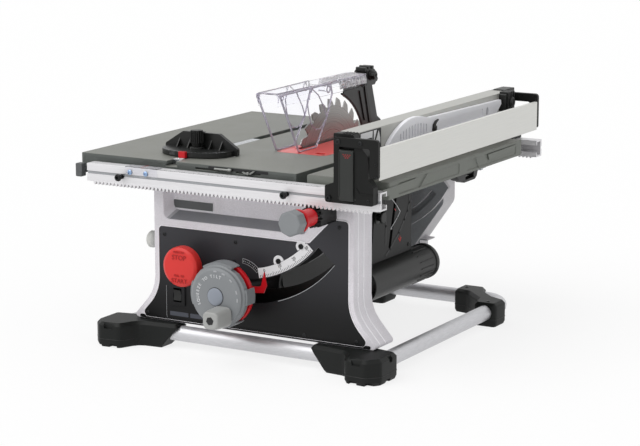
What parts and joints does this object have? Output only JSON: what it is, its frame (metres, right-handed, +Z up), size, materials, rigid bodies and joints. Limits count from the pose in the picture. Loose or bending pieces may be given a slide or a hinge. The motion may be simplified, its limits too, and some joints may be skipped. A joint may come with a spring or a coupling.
{
  "type": "table saw",
  "caption": "Compact bench table saw with a tilting and rising blade, guard, geared fence rails with extension table, flip-over fence, push stick and mitre gauge.",
  "frame": {"origin": "centre of the bounding box's base, on the ground under the saw", "axes": "+X to the right of the person at the front, along the rails; +Y from the front to the back, along the blade; +Z up"},
  "size_m": [0.646, 0.734, 0.4707],
  "materials": {
    "textured_table_coat": "satin",
    "throat_plate_lacquer": "satin",
    "extension_coat": "satin",
    "anodised_aluminium": "satin",
    "fence_aluminium": "satin",
    "base_tube_aluminium": "satin",
    "cast_aluminium": "matte",
    "bright_steel": "polished",
    "blade_steel": "satin",
    "spreader_steel": "satin",
    "motor_enamel": "satin",
    "silver_paint": "satin",
    "rear_panel_paint": "matte",
    "side_moulding": "matte",
    "storage_moulding": "satin",
    "dust_tube_moulding": "satin",
    "control_moulding": "matte",
    "black_moulding": "matte",
    "charcoal_moulding": "matte",
    "lever_moulding": "satin",
    "mitre_moulding": "matte",
    "red_moulding": "gloss",
    "paddle_moulding": "gloss",
    "grey_moulding": "matte",
    "pale_moulding": "satin",
    "push_stick_moulding": "satin",
    "white_scale": "satin",
    "clear_polycarbonate": "gloss",
    "foot_rubber": "matte"
  },
  "bodies": {
    "base": {"front_panel": "silver_paint", "control_panel": "control_moulding", "rear_panel": "rear_panel_paint", "left_side_panel": "side_moulding", "right_storage_panel": "storage_moulding", "dust_tube": "dust_tube_moulding", "front_base_tube": "base_tube_aluminium", "left_base_tube": "base_tube_aluminium", "right_base_tube": "base_tube_aluminium", "front_left_foot": "foot_rubber", "front_right_foot": "foot_rubber", "rear_left_foot": "foot_rubber", "rear_right_foot": "foot_rubber", "rear_centre_foot": "foot_rubber", "table_top": "textured_table_coat", "throat_plate": "throat_plate_lacquer", "front_rail_guide": "black_moulding", "rear_rail_guide": "black_moulding", "front_pinion_bracket": "black_moulding", "rear_pinion_bracket": "black_moulding", "front_trunnion": "cast_aluminium", "rear_trunnion": "cast_aluminium", "bevel_scale": "white_scale"},
    "rail_carriage": {"front_rail": "anodised_aluminium", "rear_rail": "anodised_aluminium", "extension_table": "extension_coat", "fence_head": "charcoal_moulding", "fence_beam": "fence_aluminium", "fence_rear_hook": "charcoal_moulding"},
    "cross_shaft": {"cross_shaft": "bright_steel", "front_pinion": "bright_steel", "rail_knob": "grey_moulding"},
    "rail_lock": {"rail_lock_collar": "red_moulding"},
    "fence_lever": {"fence_lock_lever": "lever_moulding"},
    "flip_fence": {"flip_plate": "fence_aluminium", "flip_arm_front": "charcoal_moulding", "flip_arm_rear": "charcoal_moulding"},
    "push_stick": {"push_stick": "push_stick_moulding"},
    "cradle": {"tilt_cradle": "cast_aluminium", "blade_shroud": "black_moulding", "spreader": "spreader_steel", "guard_bar": "clear_polycarbonate", "bevel_pointer": "red_moulding"},
    "arbor_carriage": {"arbor_housing": "cast_aluminium", "motor": "motor_enamel", "brake_cartridge": "black_moulding"},
    "saw_blade": {"blade": "blade_steel", "arbor": "bright_steel", "arbor_nut": "bright_steel"},
    "elevation_screw": {"elevation_screw": "bright_steel"},
    "handwheel": {"handwheel": "grey_moulding"},
    "crank_knob": {"crank_knob": "pale_moulding"},
    "tilt_release": {"tilt_release_ring": "red_moulding"},
    "left_shield": {"left_shield": "clear_polycarbonate"},
    "right_shield": {"right_shield": "clear_polycarbonate"},
    "stop_paddle": {"stop_paddle": "paddle_moulding"},
    "power_rocker": {"power_rocker": "black_moulding"},
    "mitre_bar": {"mitre_bar": "bright_steel"},
    "mitre_head": {"mitre_head": "mitre_moulding"},
    "mitre_knob": {"mitre_knob": "charcoal_moulding"}
  },
  "joints": [
    {"name": "rail_slide", "type": "slide", "parent": "base", "child": "rail_carriage", "axis": [1, 0, 0], "range_m": [-0.019, 0.33]},
    {"name": "pinion_spin", "type": "hinge", "parent": "base", "child": "cross_shaft", "pos_m": [0.18, -0.26035, 0.28487], "axis": [0, 1, 0], "range_deg": [-65, 1085]},
    {"name": "rail_lock", "type": "slide", "parent": "cross_shaft", "child": "rail_lock", "axis": [0, -1, 0], "range_m": [0, 0.005], "stiffness_N_per_m": 300},
    {"name": "fence_lever_swing", "type": "hinge", "parent": "rail_carriage", "child": "fence_lever", "pos_m": [0.259, -0.30835, 0.326], "axis": [1, 0, 0], "range_deg": [0, 60]},
    {"name": "flip_swing", "type": "hinge", "parent": "rail_carriage", "child": "flip_fence", "pos_m": [0.247, -0.26035, 0.4235], "axis": [0, -1, 0], "range_deg": [0, 180]},
    {"name": "stick_lift", "type": "slide", "parent": "rail_carriage", "child": "push_stick", "axis": [0, 0, 1], "range_m": [0, 0.055]},
    {"name": "tilt", "type": "hinge", "parent": "base", "child": "cradle", "pos_m": [-0.001, -0.26035, 0.35], "axis": [0, -1, 0], "range_deg": [0, 45]},
    {"name": "elevation", "type": "slide", "parent": "cradle", "child": "arbor_carriage", "axis": [0, 0, 1], "range_m": [-0.081, 0]},
    {"name": "blade_spin", "type": "hinge", "parent": "arbor_carriage", "child": "saw_blade", "pos_m": [-0.001, 0.09265, 0.3024], "axis": [1, 0, 0], "continuous": true},
    {"name": "screw_spin", "type": "hinge", "parent": "cradle", "child": "elevation_screw", "pos_m": [-0.001, -0.11035, 0.1075], "axis": [0, 0, 1], "range_deg": [-1085, 5]},
    {"name": "wheel_spin", "type": "hinge", "parent": "cradle", "child": "handwheel", "pos_m": [-0.001, -0.31535, 0.128], "axis": [0, 1, 0], "range_deg": [-1085, 5]},
    {"name": "crank_spin", "type": "hinge", "parent": "handwheel", "child": "crank_knob", "pos_m": [0.017, -0.31535, 0.096], "axis": [0, 1, 0], "continuous": true},
    {"name": "tilt_release", "type": "slide", "parent": "cradle", "child": "tilt_release", "axis": [0, -1, 0], "range_m": [0, 0.005], "stiffness_N_per_m": 400},
    {"name": "left_shield_swing", "type": "hinge", "parent": "cradle", "child": "left_shield", "pos_m": [-0.0265, 0.03965, 0.454], "axis": [-1, 0, 0], "range_deg": [0, 60]},
    {"name": "right_shield_swing", "type": "hinge", "parent": "cradle", "child": "right_shield", "pos_m": [0.0213, 0.03965, 0.454], "axis": [-1, 0, 0], "range_deg": [0, 60]},
    {"name": "paddle_push", "type": "slide", "parent": "base", "child": "stop_paddle", "axis": [0, 1, 0], "range_m": [-0.008, 0.004]},
    {"name": "rocker_swing", "type": "hinge", "parent": "base", "child": "power_rocker", "pos_m": [-0.136, -0.22605, 0.098], "axis": [1, 0, 0], "range_deg": [-8, 8]},
    {"name": "mitre_slide", "type": "slide", "parent": "base", "child": "mitre_bar", "axis": [0, 1, 0], "range_m": [-0.06, 0.28]},
    {"name": "mitre_swivel", "type": "hinge", "parent": "mitre_bar", "child": "mitre_head", "pos_m": [-0.127, -0.17635, 0.35], "axis": [0, 0, 1], "range_deg": [-50, 50]},
    {"name": "mitre_knob_spin", "type": "hinge", "parent": "mitre_head", "child": "mitre_knob", "pos_m": [-0.127, -0.17635, 0.3643], "axis": [0, 0, 1], "continuous": true}
  ],
  "couplings": [
    {"joint": "pinion_spin", "follows": "rail_slide", "rad_per_m": 57.143},
    {"joint": "screw_spin", "follows": "elevation", "rad_per_m": 232.71},
    {"joint": "wheel_spin", "follows": "elevation", "rad_per_m": 232.71},
    {"joint": "left_shield_swing", "follows": "tilt", "ratio": 1}
  ]
}
